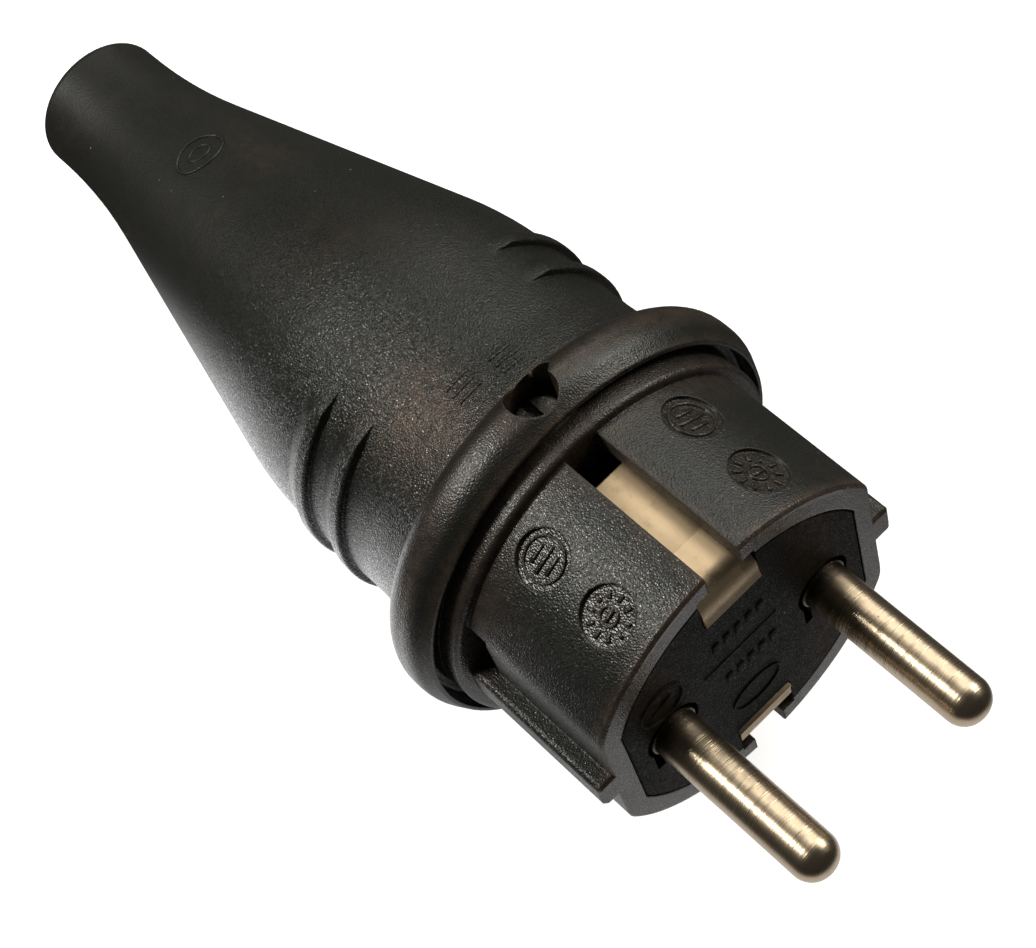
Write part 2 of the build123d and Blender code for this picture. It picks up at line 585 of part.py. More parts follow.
def make_clamp_fasteners():
    """The right screw and nut of the cord clamp."""
    y = CLAMP_SCREW_SPACING / 2
    length = SADDLE_FOOT + CLAMP_DEPTH
    head = (CLAMP_SCREW_HEAD, CLAMP_SCREW_HEAD_HEIGHT)
    screw = Pos(CLAMP_X, y, SADDLE_FOOT) * machine_screw(CLAMP_SCREW_DIAMETER, *head, length)
    nut = square_nut(CLAMP_NUT_WIDTH, CLAMP_NUT_THICKNESS, CLAMP_SCREW_DIAMETER)
    return screw, Pos(CLAMP_X, y, -CLAMP_DEPTH) * nut


def make_boot_fasteners():
    """The upper screw and nut that hold the boot."""
    head = (BOOT_SCREW_HEAD, BOOT_SCREW_HEAD_HEIGHT)
    screw = machine_screw(BOOT_SCREW_DIAMETER, *head, BOOT_SCREW_LENGTH)
    nut = square_nut(BOOT_NUT_WIDTH, BOOT_NUT_THICKNESS, BOOT_SCREW_DIAMETER)
    place = Pos(BOOT_SCREW_X, 0, 0)
    return place * Pos(0, 0, BOOT_SCREW_SEAT) * screw, place * Pos(0, 0, boot_nut_floor()) * nut


def make_plug():
    """Every piece by name, on the plug's own axis."""
    pin = make_contact_pin()
    terminal_screw = make_terminal_screw()
    earth_screw, earth_plate, earth_nut = make_earth_terminal()
    clamp_screw, clamp_nut = make_clamp_fasteners()
    boot_screw, boot_nut = make_boot_fasteners()
    right = Pos(0, PIN_SPACING / 2, 0)
    left = Pos(0, -PIN_SPACING / 2, 0)
    return {
        "rear_boot": make_rear_boot(),
        "front_shell": make_front_shell(),
        "contact_carrier": make_contact_carrier(),
        "contact_pin_left": left * pin,
        "contact_pin_right": right * pin,
        "terminal_screw_left": left * terminal_screw,
        "terminal_screw_right": right * terminal_screw,
        "earth_strip": make_earth_strip(),
        "earth_screw": earth_screw,
        "earth_clamp_plate": earth_plate,
        "earth_nut": earth_nut,
        "cord_clamp": make_cord_clamp(),
        "cord_clamp_screw_left": mirror(clamp_screw, Plane.XZ),
        "cord_clamp_screw_right": clamp_screw,
        "cord_clamp_nut_left": mirror(clamp_nut, Plane.XZ),
        "cord_clamp_nut_right": clamp_nut,
        "boot_screw_top": boot_screw,
        "boot_screw_bottom": mirror(boot_screw, Plane.XY),
        "boot_nut_top": boot_nut,
        "boot_nut_bottom": mirror(boot_nut, Plane.XY),
    }


def tangent_angle(front, rear):
    """The slope of the line that rests on two rounds, each an (x, radius, round)."""
    run = front[0] - rear[0]
    rise = front[1] - rear[1]
    return atan2(rise, run) - asin((rear[2] - front[2]) / hypot(run, rise))


def lean_angle():
    """The angle at which the plug lies back on its flange and its grip or neck."""
    rear_round = FLANGE_REAR_ROUND
    flange = (FLANGE_REAR + rear_round, FLANGE_RADIUS - rear_round, rear_round)
    arc_start = GRIP_END + TAPER_ROUND * tan(TAPER_ANGLE / 2)
    grip = (arc_start, GRIP_RADIUS - TAPER_ROUND, TAPER_ROUND)
    tail = (TAIL_X + NECK_EDGE, NECK_RADIUS - NECK_EDGE, NECK_EDGE)
    return degrees(min(tangent_angle(flange, grip), tangent_angle(flange, tail)))


def resting_place(pieces):
    """The place that leans the pieces back, on the floor and centred along X."""
    lean = Rot(0, -lean_angle(), 0)
    boxes = [(lean * piece).bounding_box() for piece in pieces.values()]
    middle_x = (min(box.min.X for box in boxes) + max(box.max.X for box in boxes)) / 2
    return Pos(-middle_x, 0, -min(box.min.Z for box in boxes)) * lean


os.makedirs("parts", exist_ok=True)
plug = make_plug()
place = resting_place(plug)
for name, piece in plug.items():
    export_step(place * piece, f"parts/{name}.step")
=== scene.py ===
"""Rubber electric plug: finishes, moulded relief and studio, laid out as an add-on."""
import json
from math import cos, radians, sin, tau

import bmesh
import bpy
from bpy.props import FloatProperty, FloatVectorProperty, PointerProperty
from bpy.types import Operator, Panel, PropertyGroup
from mathutils import Matrix, Vector
from mathutils.bvhtree import BVHTree


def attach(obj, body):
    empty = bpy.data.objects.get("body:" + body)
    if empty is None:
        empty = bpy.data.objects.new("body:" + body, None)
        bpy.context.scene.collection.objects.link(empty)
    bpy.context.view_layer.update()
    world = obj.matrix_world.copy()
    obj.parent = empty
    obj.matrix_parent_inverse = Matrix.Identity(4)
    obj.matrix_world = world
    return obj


bl_info = {
    "name": "Rubber Plug Dressing",
    "version": (1, 0, 0),
    "blender": (4, 5, 0),
    "location": "View3D > Sidebar > Plug",
    "description": "Dresses a packed rubber plug with finishes, moulded relief and a studio",
    "category": "Object",
}

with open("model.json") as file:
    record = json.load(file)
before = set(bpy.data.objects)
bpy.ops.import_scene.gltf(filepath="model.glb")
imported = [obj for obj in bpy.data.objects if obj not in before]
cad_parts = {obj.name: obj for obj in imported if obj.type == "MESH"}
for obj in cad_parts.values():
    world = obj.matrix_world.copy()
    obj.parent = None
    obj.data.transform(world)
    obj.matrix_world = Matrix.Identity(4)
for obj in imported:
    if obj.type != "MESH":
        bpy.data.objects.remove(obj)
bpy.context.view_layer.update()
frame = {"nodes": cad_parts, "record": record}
NODES = frame["nodes"]
MOUNTS = {mount["name"]: mount for mount in frame["record"]["mounts"]}
BODY = "root"

METAL_SLOTS = ("plated_brass", "strip_metal", "zinc_steel")
METAL_NODES = {
    part["node"]: part["material_slot"]
    for part in frame["record"]["subparts"]
    if part["material_slot"] in METAL_SLOTS
}

MM = 0.001

# The plug's own frame, in millimetres: its front face at the origin, +X to the pins
FACE_POINT = Vector(MOUNTS["engagement_face"]["pos_m"])
FORWARD = Vector(MOUNTS["engagement_face"]["axis"]).normalized()
SIDE = Vector((0, 1, 0))
UPWARD = FORWARD.cross(SIDE)
PLUG_TURN = Matrix((FORWARD, SIDE, UPWARD)).transposed()
PLUG = Matrix.Translation(FACE_POINT) @ PLUG_TURN.to_4x4() @ Matrix.Scale(MM, 4)
AHEAD = Vector((1, 0, 0))
ACROSS = Vector((0, 1, 0))

# Places along the axis in that frame, from the front to the neck
RECESS_FRONT = -4.9
RECESS_REAR = -12.9
SLEEVE_REAR = -17.0
FLANGE_LIP = -18.8
FLANGE_CREST = -22.0
SCREW_CENTRE = -22.4
FLANGE_CREASE = -25.2
GRIP_PATCH = -31.0
GRIP_REAR = -47.0
NECK_FRONT = -72.0
NECK_MARK = -74.8

# Places beside the axis and out from it
SLOT_SIDE = 1.9
PATCH_SIDE = -7.0
RECESS_SIDE = 9.2
PIN_SIDE = 9.5
SLOT_WALL_FOOT = 15.9
RECESS_FLOOR = 18.1
RECESS_ANGLE = 29.4

# Brown rings on the hood: place along the axis, reach and strength
HOOD_BROWN = ((FLANGE_CREASE, 1.6, 1.0), (FLANGE_CREST, 2.2, 0.5), (FLANGE_LIP, 1.2, 0.4))

# Looks of the mouldings
BLOOM_EVERYWHERE = 0.14
EDGE_TONE = 0.30
SPECK_AMOUNT = 0.25
CLOUD_SPREAD = 0.07
SHINE_GAIN = 0.2
RIPPLE_HEIGHT = 0.8
INSERT_GRAIN = 0.6

# Looks of the metal pieces, with lengths in millimetres
DIRT_AMOUNT = 0.3
DIRT_METALLIC = 0.2
DULL_GAIN = 0.16
LINE_GAIN = 0.08
LINE_DEPTH = 0.025
METAL_EDGE = 0.12
PIN_TARNISH = (0.30, 0.21, 0.14)
STRIP_TARNISH = (0.50, 0.36, 0.22)
SCREW_TARNISH = (0.12, 0.11, 0.09)

# The share of a bar's width or rise that its edges are rounded by
BEVEL_SHARE = 0.3

# Moulded relief in millimetres: rings are half width, half depth, line width and rise
RELIEF_SINK = 0.15
RING_STEPS = 48
MARK_HEIGHT = 20
FACE_MARK_HEIGHT = 2
RAY_CLEARANCE = 5
NECK_RINGS = ((2.9, 2.3, 0.4, 0.2), (1.4, 1.0, 0.35, 0.15))
DIAL_RING = (1.05, 1.05, 0.35, 0.22)
BARRED_RING = (2.25, 2.25, 0.35, 0.22)
OVAL_RING = (3.1, 2.0, 0.35, 0.15)
OVAL_CENTRE = (-0.1, -6.6)
ROUND_RING = (2.6, 2.6, 0.4, 0.18)
ROUND_CENTRE = (-9.7, 6.0)

# Relief bars are length, width and rise, and their turn is in degrees
DIAL_POINTER = (1.3, 0.35, 0.24)
DIAL_TICK = (0.8, 0.34, 0.2)
DIAL_TICKS = 10
DIAL_RADIUS = 1.85
ROUND_BAR = (2.6, 0.4, 0.18)
ROUND_BAR_TURN = 20
FACE_LINE = (9.0, 0.25, 0.08)
FACE_LINE_CENTRE = (-0.5, 3.2)
FACE_DASH = (0.8, 1.5, 0.16)
DASH_PITCH = 1.35
DASHES = 5

# Rows of bars: the row's place, and where its first dash or how long its bar is
DASH_ROWS = ((6.6, -2.9), (-0.4, -2.4))
RING_ROWS = ((-0.95, 2.0), (0.0, 2.9), (0.95, 2.0))
RING_BAR_WIDTH = 0.38
RING_BAR_RISE = 0.2

# Bars on the hood: name, place along the axis, degrees from the top and length
HOOD_BARS = (("hood_bar_left", -29.8, -7.8, 2.8), ("hood_bar_right", -28.9, 6.4, 2.4))
HOOD_BAR_ROWS = (-1.0, 0.0, 1.0)
HOOD_BAR_WIDTH = 0.4
HOOD_BAR_RISE = 0.16

# The flat ends of the earth strip, which dip in front below the CAD's own flat
STRIP_END_FRONT = -4.0
STRIP_END_FLUSH = -5.0
STRIP_END_REAR = -14.6
STRIP_END_TOP = 15.6
STRIP_END_TILT = 0.011
STRIP_END_WIDTH = 6.6
STRIP_END_THICKNESS = 0.75
STRIP_END_EDGE = 0.12

# The stage, with its lengths in metres
FLOOR_REACH = 3.0
SHADOW_REACH = 0.5
CLIP_START = 0.01
PAPER_ROUGHNESS = 0.9
PAPER_GLOSS = 0.1
PAPER_IN_GLOSS = (0.05, 0.05, 0.05)
ROOM_COLOUR = (1.0, 1.0, 0.99)
LAMPS = ("key", "fill", "side", "strip")
LAMP_COLOUR = (1.0, 0.99, 0.91)

# The share of a glow's reach that is fully bright
GLOW_CORE = 0.4

# The point that the lamps face, and the camera's sensor, in millimetres
LAMP_AIM = Vector((-30, 0, 0))
SENSOR_WIDTH = 36.0

VECTOR = "NodeSocketVector"
VALUE = "NodeSocketFloat"
COLOUR = "NodeSocketColor"


def colour_property(name, description, default):
    """A colour that a user may change."""
    return FloatVectorProperty(
        name=name, description=description, subtype="COLOR", size=3, min=0, max=1, default=default
    )


def spot_property(name, description, default):
    """A place on the floor, in metres."""
    return FloatVectorProperty(
        name=name, description=description, subtype="TRANSLATION", size=3, default=default
    )


def lamp_place_property(name, default):
    """Where a lamp stands, seen from the plug."""
    description = "Heading and height in degrees, distance in metres"
    return FloatVectorProperty(name=name, description=description, size=3, default=default)


def length_property(name, description, default):
    """A length in metres."""
    return FloatProperty(name=name, description=description, unit="LENGTH", default=default)


def power_property(name, description, default):
    """A lamp's power in watts."""
    return FloatProperty(name=name, description=description, unit="POWER", default=default)


def number_property(name, description, default):
    """A plain number."""
    return FloatProperty(name=name, description=description, default=default)


class RubberSettings(PropertyGroup):
    """Colours and grain of the mouldings."""

    hood_colour: colour_property("Hood", "Base colour of the soft hood", (0.0100, 0.0100, 0.0081))
    sleeve_colour: colour_property("Sleeve", "Base colour of the sleeve", (0.0110, 0.0109, 0.0095))
    insert_colour: colour_property("Insert", "Base colour of the hard insert", (0.0062, 0.0064, 0.0052))
    bloom_colour: colour_property("Bloom", "Brown tint of old rubber", (0.085, 0.052, 0.034))
    wear_colour: colour_property("Wear", "Colour of rubbed edges", (0.09, 0.085, 0.075))
    dust_colour: colour_property("Dust", "Colour of the pale specks", (0.22, 0.21, 0.19))
    sparkle: number_property("Sparkle", "How much glossier the grain's pits are", 0.44)
    grain_depth: number_property("Grain Depth", "Depth of the grain in millimetres", 0.088)
    grain_size: FloatProperty(
        name="Grain Size", description="Width of a grain in millimetres", min=0.05, default=0.165
    )


class MetalSettings(PropertyGroup):
    """Colours of the metal pieces."""

    pin_colour: colour_property("Pin", "Nickel plating of the pins", (0.53, 0.42, 0.30))
    strip_colour: colour_property("Strip", "Plating of the earth strip", (0.92, 0.70, 0.46))
    screw_colour: colour_property("Screw", "Zinc plating of the fasteners", (0.85, 0.86, 0.80))
    # The colour of the metal's dark specks, also used for its painted shade
    dirt_and_shade_colour: colour_property("Dirt", "Dark specks on the metal", (0.05, 0.04, 0.03))
    line_pitch: FloatProperty(
        name="Line Pitch",
        description="Spacing of the turned lines in millimetres",
        min=0.02,
        default=0.12,
    )


class StudioSettings(PropertyGroup):
    """Camera, lights and floor."""

    camera_place: FloatVectorProperty(
        name="Camera",
        description="Where the camera stands, in millimetres from the plug's front face",
        size=3,
        default=(75.51, -44.71, 190.20),
    )
    camera_aim: FloatVectorProperty(
        name="Aim",
        description="The middle of the picture, in millimetres from the plug's front face",
        size=3,
        default=(-29.40, -1.12, 0.0),
    )
    camera_roll: FloatProperty(
        name="Roll",
        description="Turn of the camera about its line of sight",
        subtype="ANGLE",
        default=radians(-13.02),
    )
    focal_length: FloatProperty(
        name="Focal Length", description="For a sensor 36 mm wide", min=10, default=81.53
    )
    key_place: lamp_place_property("Key Place", (-140.0, 43.0, 0.7))
    key_size: length_property("Key Size", "Width of the key light", 0.18)
    key_power: power_property("Key Light", "Power of the key light", 3.0)
    fill_place: lamp_place_property("Fill Place", (122.0, 42.0, 0.7))
    fill_size: length_property("Fill Size", "Width of the fill", 0.5)
    fill_power: power_property("Fill Light", "Power of the fill", 1.6)
    side_place: lamp_place_property("Side Place", (84.0, 39.0, 0.7))
    side_size: length_property("Side Size", "Width of the side light", 0.3)
    side_power: power_property("Side Light", "Power of the side light", 2.1)
    strip_place: lamp_place_property("Strip Light Place", (148.0, 58.0, 0.7))
    strip_size: length_property("Strip Light Size", "Width of the light that the strip shows", 0.35)
    strip_power: power_property("Strip Light", "Power of the light that the strip shows", 0.4)
    room_light: number_property("Room Light", "Strength of the room's light", 0.04)
    floor_colour: colour_property("Floor", "Colour of the floor", (0.82, 0.82, 0.81))
    paper_glow: number_property("Paper Glow", "Light the paper adds for the camera", 0.74)
    grip_glow: number_property("Grip Glow", "How bright the grip's gloss shows the floor", 2.4)
    grip_glow_place: spot_property(
        "Grip Glow Place", "Where the floor is brightest beside the grip", (-0.015, -0.035, 0.0)
    )
    grip_glow_reach: length_property("Grip Glow Reach", "How far the bright part of the floor goes", 0.04)
    pin_glow: number_property("Pin Glow", "How bright the pins show the floor", 0.75)
    pin_glow_place: spot_property(
        "Pin Glow Place", "Where the floor shows in the pins", (0.065, -0.015, 0.0)
    )
    pin_glow_reach: length_property("Pin Glow Reach", "How far the floor shows in the pins", 0.07)


class Wires:
    """A node tree with short calls to add nodes and join them."""

    def __init__(self, tree):
        self.tree = tree

    def node(self, kind, inputs=None, **settings):
        """A new node with its settings, and with values or links on its inputs."""
        made = self.tree.nodes.new(kind)
        for name, value in settings.items():
            setattr(made, name, value)
        for name, value in (inputs or {}).items():
            self.feed(made.inputs[name], value)
        return made

    def feed(self, socket, value):
        """Links an output to the socket, or sets its value."""
        if isinstance(value, bpy.types.NodeSocket):
            self.tree.links.new(value, socket)
        else:
            socket.default_value = value

    def maths(self, operation, first, second=0.0, third=0.0):
        """The result of one sum."""
        made = self.node("ShaderNodeMath", {0: first, 1: second, 2: third}, operation=operation)
        return made.outputs[0]

    def times(self, first, second):
        """One value times another."""
        return self.maths("MULTIPLY", first, second)

    def add_times(self, start, value, by):
        """The start, and a value times another on top of it."""
        return self.maths("MULTIPLY_ADD", value, by, start)

    def larger(self, first, second):
        """The larger of two values."""
        return self.maths("MAXIMUM", first, second)

    def spread(self, mask, low, high):
        """A mask from 0 to 1 spread from low to high."""
        return self.maths("MULTIPLY_ADD", mask, high - low, low)

    def band(self, value, low, high):
        """0 below low, 1 above high, or the other way round where low is the larger."""
        inputs = {"Value": value, "From Min": low, "From Max": high}
        return self.node("ShaderNodeMapRange", inputs, interpolation_type="SMOOTHSTEP").outputs[0]

    def near(self, value, middle, reach):
        """1 at the middle, fading to 0 at the reach on both sides."""
        away = self.maths("ABSOLUTE", self.maths("SUBTRACT", value, middle))
        return self.band(away, reach, 0.0)

    def blend(self, factor, first, second):
        """A mix of two colours."""
        made = self.node("ShaderNodeMix", data_type="RGBA")
        self.feed(made.inputs["Factor"], factor)
        self.feed(made.inputs[6], first)
        self.feed(made.inputs[7], second)
        return made.outputs[2]

    def noise(self, place, scale, detail=2.0, roughness=0.5, offset=0.0):
        """Soft noise whose scale is in waves for each unit of the place."""
        moved = place
        if offset:
            made = self.node("ShaderNodeVectorMath", {0: place, 1: (offset, offset, offset)})
            moved = made.outputs[0]
        inputs = {"Vector": moved, "Scale": scale, "Detail": detail, "Roughness": roughness}
        return self.node("ShaderNodeTexNoise", inputs).outputs["Fac"]

    def line_noise(self, value, scale, detail):
        """Soft noise along one value."""
        inputs = {"W": value, "Scale": scale, "Detail": detail}
        return self.node("ShaderNodeTexNoise", inputs, noise_dimensions="1D").outputs["Fac"]

    def cells(self, place, scale):
        """Scattered cells, with the distance from each one's middle and a colour of its own."""
        inputs = {"Vector": place, "Scale": scale, "Randomness": 1.0}
        return self.node("ShaderNodeTexVoronoi", inputs).outputs

    def group(self, name, **inputs):
        """A shared effect placed in this tree."""
        made = self.node("ShaderNodeGroup", node_tree=bpy.data.node_groups[name])
        for title, value in inputs.items():
            self.feed(made.inputs[title], value)
        return made.outputs


def start_group(name, inputs, outputs):
    """A shared effect with its named inputs and outputs: its wires and both ends."""
    tree = bpy.data.node_groups.new(name, "ShaderNodeTree")
    for title, kind, default in inputs:
        made = tree.interface.new_socket(title, in_out="INPUT", socket_type=kind)
        if default is not None:
            made.default_value = default
    for title, kind in outputs:
        tree.interface.new_socket(title, in_out="OUTPUT", socket_type=kind)
    wires = Wires(tree)
    return wires, wires.node("NodeGroupInput").outputs, wires.node("NodeGroupOutput").inputs


def build_plug_place():
    """Place in the plug's own frame in millimetres, along its axis, out from it and to its side."""
    outputs = [("Place", VECTOR), ("Along", VALUE), ("Out", VALUE), ("Side", VALUE)]
    wires, _, end = start_group("plug place", [], outputs)
    coordinates = wires.node("ShaderNodeTexCoord").outputs["Object"]
    back = PLUG.inverted()
    mapping = wires.node("ShaderNodeMapping", {"Vector": coordinates}, vector_type="POINT")
    mapping.inputs["Location"].default_value = back.to_translation()
    mapping.inputs["Rotation"].default_value = back.to_euler()
    mapping.inputs["Scale"].default_value = back.to_scale()
    place = mapping.outputs["Vector"]
    parts = wires.node("ShaderNodeSeparateXYZ", {"Vector": place}).outputs
    square = wires.times(parts["Z"], parts["Z"])
    radius = wires.maths("SQRT", wires.add_times(square, parts["Y"], parts["Y"]))
    wires.feed(end["Place"], place)
    wires.feed(end["Along"], parts["X"])
    wires.feed(end["Out"], radius)
    wires.feed(end["Side"], parts["Y"])


def build_moulded_grain():
    """Fine leathery grain: a height and a mask of its pits."""
    inputs = [("Place", VECTOR, None), ("Size", VALUE, 0.2)]
    wires, begin, end = start_group("moulded grain", inputs, [("Height", VALUE), ("Pits", VALUE)])
    scale = wires.maths("DIVIDE", 1.0, begin["Size"])
    cells = wires.cells(begin["Place"], scale)["Distance"]
    waves = wires.noise(begin["Place"], scale, detail=0.0)
    wires.feed(end["Height"], wires.add_times(waves, cells, 0.25))
    wires.feed(end["Pits"], wires.band(cells, low=0.5, high=0.2))


def build_brown_bloom():
    """Patchy brown tint where the mask is, and a little of it all over."""
    inputs = [
        ("Place", VECTOR, None),
        ("Colour", COLOUR, None),
        ("Bloom", COLOUR, None),
        ("Mask", VALUE, 0.0),
        ("Everywhere", VALUE, 0.1),
    ]
    wires, begin, end = start_group("brown bloom", inputs, [("Colour", COLOUR)])
    large = wires.noise(begin["Place"], scale=0.11, detail=3.0, roughness=0.6)
    small = wires.noise(begin["Place"], scale=0.9, detail=3.0, roughness=0.65, offset=17.0)
    patches = wires.band(large, low=0.48, high=0.72)
    broken = wires.band(small, low=0.3, high=0.7)
    wide = wires.times(wires.times(patches, broken), begin["Everywhere"])
    local = wires.times(begin["Mask"], wires.band(small, low=0.15, high=0.75))
    amount = wires.maths("MINIMUM", wires.maths("ADD", wide, local), 1.0)
    wires.feed(end["Colour"], wires.blend(amount, begin["Colour"], begin["Bloom"]))


def build_dust_specks():
    """Sparse specks of uneven size, as a colour and a mask."""
    inputs = [
        ("Place", VECTOR, None),
        ("Colour", COLOUR, None),
        ("Dust", COLOUR, None),
        ("Amount", VALUE, 0.5),
    ]
    wires, begin, end = start_group("dust specks", inputs, [("Colour", COLOUR), ("Specks", VALUE)])
    cells = wires.cells(begin["Place"], scale=0.85)
    chance = wires.node("ShaderNodeSeparateColor", {"Color": cells["Color"]}).outputs
    largest = 0.085
    inside = wires.maths("LESS_THAN", cells["Distance"], wires.times(chance["Red"], largest))
    kept = wires.maths("LESS_THAN", chance["Green"], begin["Amount"])
    specks = wires.times(inside, kept)
    wires.feed(end["Colour"], wires.blend(specks, begin["Colour"], begin["Dust"]))
    wires.feed(end["Specks"], specks)


def build_turned_lines():
    """Rings that a turning tool leaves, uneven in depth."""
    inputs = [("Along", VALUE, 0.0), ("Pitch", VALUE, 0.16)]
    wires, begin, end = start_group("turned lines", inputs, [("Height", VALUE), ("Tone", VALUE)])
    scaled = wires.maths("DIVIDE", begin["Along"], begin["Pitch"])
    lines = wires.line_noise(scaled, scale=1.0, detail=2.0)
    bands = wires.line_noise(scaled, scale=0.12, detail=1.0)
    depth = wires.spread(wires.band(bands, low=0.3, high=0.7), low=0.3, high=1.0)
    wires.feed(end["Height"], wires.times(lines, depth))
    wires.feed(end["Tone"], lines)


def build_edge_wear():
    """Broken wear along edges, from the angle between two normals."""
    inputs = [("Rounded", VECTOR, None), ("Sharp", VECTOR, None), ("Place", VECTOR, None)]
    wires, begin, end = start_group("edge wear", inputs, [("Wear", VALUE)])
    normals = {0: begin["Rounded"], 1: begin["Sharp"]}
    turn = wires.node("ShaderNodeVectorMath", normals, operation="DOT_PRODUCT").outputs["Value"]
    edge = wires.band(turn, low=0.995, high=0.9)
    gaps = wires.noise(begin["Place"], scale=1.6, detail=3.0, roughness=0.7, offset=5.0)
    wires.feed(end["Wear"], wires.times(edge, wires.band(gaps, low=0.35, high=0.65)))


def build_shared_effects():
    """Every node group that the materials share."""
    build_plug_place()
    build_moulded_grain()
    build_brown_bloom()
    build_dust_specks()
    build_turned_lines()
    build_edge_wear()


def start_material(name):
    """An empty material: the material, its wires and its shader."""
    material = bpy.data.materials.new(name)
    material.use_nodes = True
    return material, Wires(material.node_tree), material.node_tree.nodes["Principled BSDF"]


def solid_colour(colour):
    """A colour property as a shader colour."""
    return (*colour, 1.0)


def rounded_edges(wires, place, radius):
    """A normal with soft edges, and how worn the edge is."""
    soft = wires.node("ShaderNodeBevel", {"Radius": radius * MM}, samples=6).outputs["Normal"]
    sharp = wires.node("ShaderNodeNewGeometry").outputs["Normal"]
    wear = wires.group("edge wear", Rounded=soft, Sharp=sharp, Place=place["Place"])
    return soft, wear["Wear"]


def bump_normal(wires, height, normal, strength, depth):
    """A normal that follows a height, whose depth is in millimetres."""
    bump = wires.node("ShaderNodeBump", {"Height": height, "Normal": normal})
    bump.inputs["Strength"].default_value = strength
    bump.inputs["Distance"].default_value = depth * MM
    return bump.outputs["Normal"]


def dress(node, material):
    """Puts the material on a CAD node."""
    mesh = NODES[node].data
    mesh.materials.clear()
    mesh.materials.append(material)


def rubber_material(name, colour, settings, masks, roughness=0.41, edge=0.25, grain=1.0, gloss=0.5):
    """Old moulding: grain, brown bloom, dust and worn edges, from masks of brown, grain and shine."""
    material, wires, shader = start_material(name)
    shader.inputs["Specular IOR Level"].default_value = gloss
    place = wires.group("plug place")
    soft, wear = rounded_edges(wires, place, edge)
    brown, grained, shine = masks(wires, place)
    skin = wires.group("moulded grain", Place=place["Place"], Size=settings.grain_size * grain)
    bloom = wires.group(
        "brown bloom",
        Place=place["Place"],
        Colour=solid_colour(colour),
        Bloom=solid_colour(settings.bloom_colour),
        Mask=brown,
        Everywhere=BLOOM_EVERYWHERE,
    )
    edge_tone = wires.times(wear, EDGE_TONE)
    worn = wires.blend(edge_tone, bloom["Colour"], solid_colour(settings.wear_colour))
    dusty = wires.group(
        "dust specks",
        Place=place["Place"],
        Colour=worn,
        Dust=solid_colour(settings.dust_colour),
        Amount=SPECK_AMOUNT,
    )
    wires.feed(shader.inputs["Base Color"], dusty["Colour"])
    cloud = wires.noise(place["Place"], scale=0.35, detail=3.0, roughness=0.6, offset=3.0)
    tone = wires.spread(cloud, roughness - CLOUD_SPREAD, roughness + CLOUD_SPREAD)
    tone = wires.add_times(tone, wires.times(skin["Pits"], grained), -settings.sparkle)
    wires.feed(shader.inputs["Roughness"], wires.add_times(tone, shine, -SHINE_GAIN))
    ripples = wires.noise(place["Place"], scale=1.5, detail=1.0, offset=11.0)
    wet = wires.times(wires.larger(shine, 0.0), RIPPLE_HEIGHT)
    height = wires.add_times(wires.times(skin["Height"], grained), ripples, wet)
    normal = bump_normal(wires, height, soft, strength=1.0, depth=settings.grain_depth)
    wires.feed(shader.inputs["Normal"], normal)
    return material


def hood_masks(wires, place):
    """Brown on the flange and in a patch behind it; grain and shine that fade towards the neck."""
    behind = wires.near(place["Along"], GRIP_PATCH, reach=9.0)
    brown = wires.times(behind, wires.near(place["Side"], PATCH_SIDE, reach=7.0))
    for middle, reach, strength in HOOD_BROWN:
        ring = wires.times(wires.near(place["Along"], middle, reach), strength)
        brown = wires.larger(brown, ring)
    grip = wires.spread(wires.band(place["Along"], NECK_FRONT, GRIP_REAR), low=0.25, high=1.0)
    flange = wires.band(place["Along"], FLANGE_CREASE - 1.0, FLANGE_CREASE + 1.0)
    grain = wires.times(grip, wires.spread(flange, low=1.0, high=0.45))
    return brown, grain, wires.spread(grip, low=-0.6, high=0.0)


def sleeve_masks(wires, place):
    """Brown at both ends and along the slots; glossy recess floors and dull slot walls."""
    width = wires.maths("ABSOLUTE", place["Side"])
    front = wires.times(wires.band(place["Along"], low=-1.6, high=0.0), 0.7)
    slot = wires.times(wires.band(width, low=SLOT_SIDE + 1.5, high=SLOT_SIDE), 0.4)
    rear = wires.times(wires.near(place["Along"], SLEEVE_REAR, reach=5.0), 0.35)
    floor = wires.maths("GREATER_THAN", wires.near(place["Out"], RECESS_FLOOR, reach=0.35), 0.2)
    pair = wires.maths("GREATER_THAN", wires.near(width, RECESS_SIDE, reach=5.5), 0.1)
    recess = wires.times(floor, pair)
    brown = wires.larger(wires.larger(front, slot), rear)
    brown = wires.larger(brown, wires.times(recess, 0.2))
    above = wires.band(place["Out"], low=SLOT_WALL_FOOT, high=SLOT_WALL_FOOT + 0.3)
    wall = wires.times(wires.near(width, SLOT_SIDE, reach=0.25), above)
    shine = wires.add_times(wires.times(recess, 0.6), wall, -2.0)
    return brown, wires.spread(recess, low=0.6, high=0.4), shine


def insert_masks(wires, place):
    """Faint brown around the pins and an even, fine skin."""
    width = wires.maths("ABSOLUTE", place["Side"])
    return wires.times(wires.near(width, PIN_SIDE, reach=5.0), 0.35), INSERT_GRAIN, 0.0


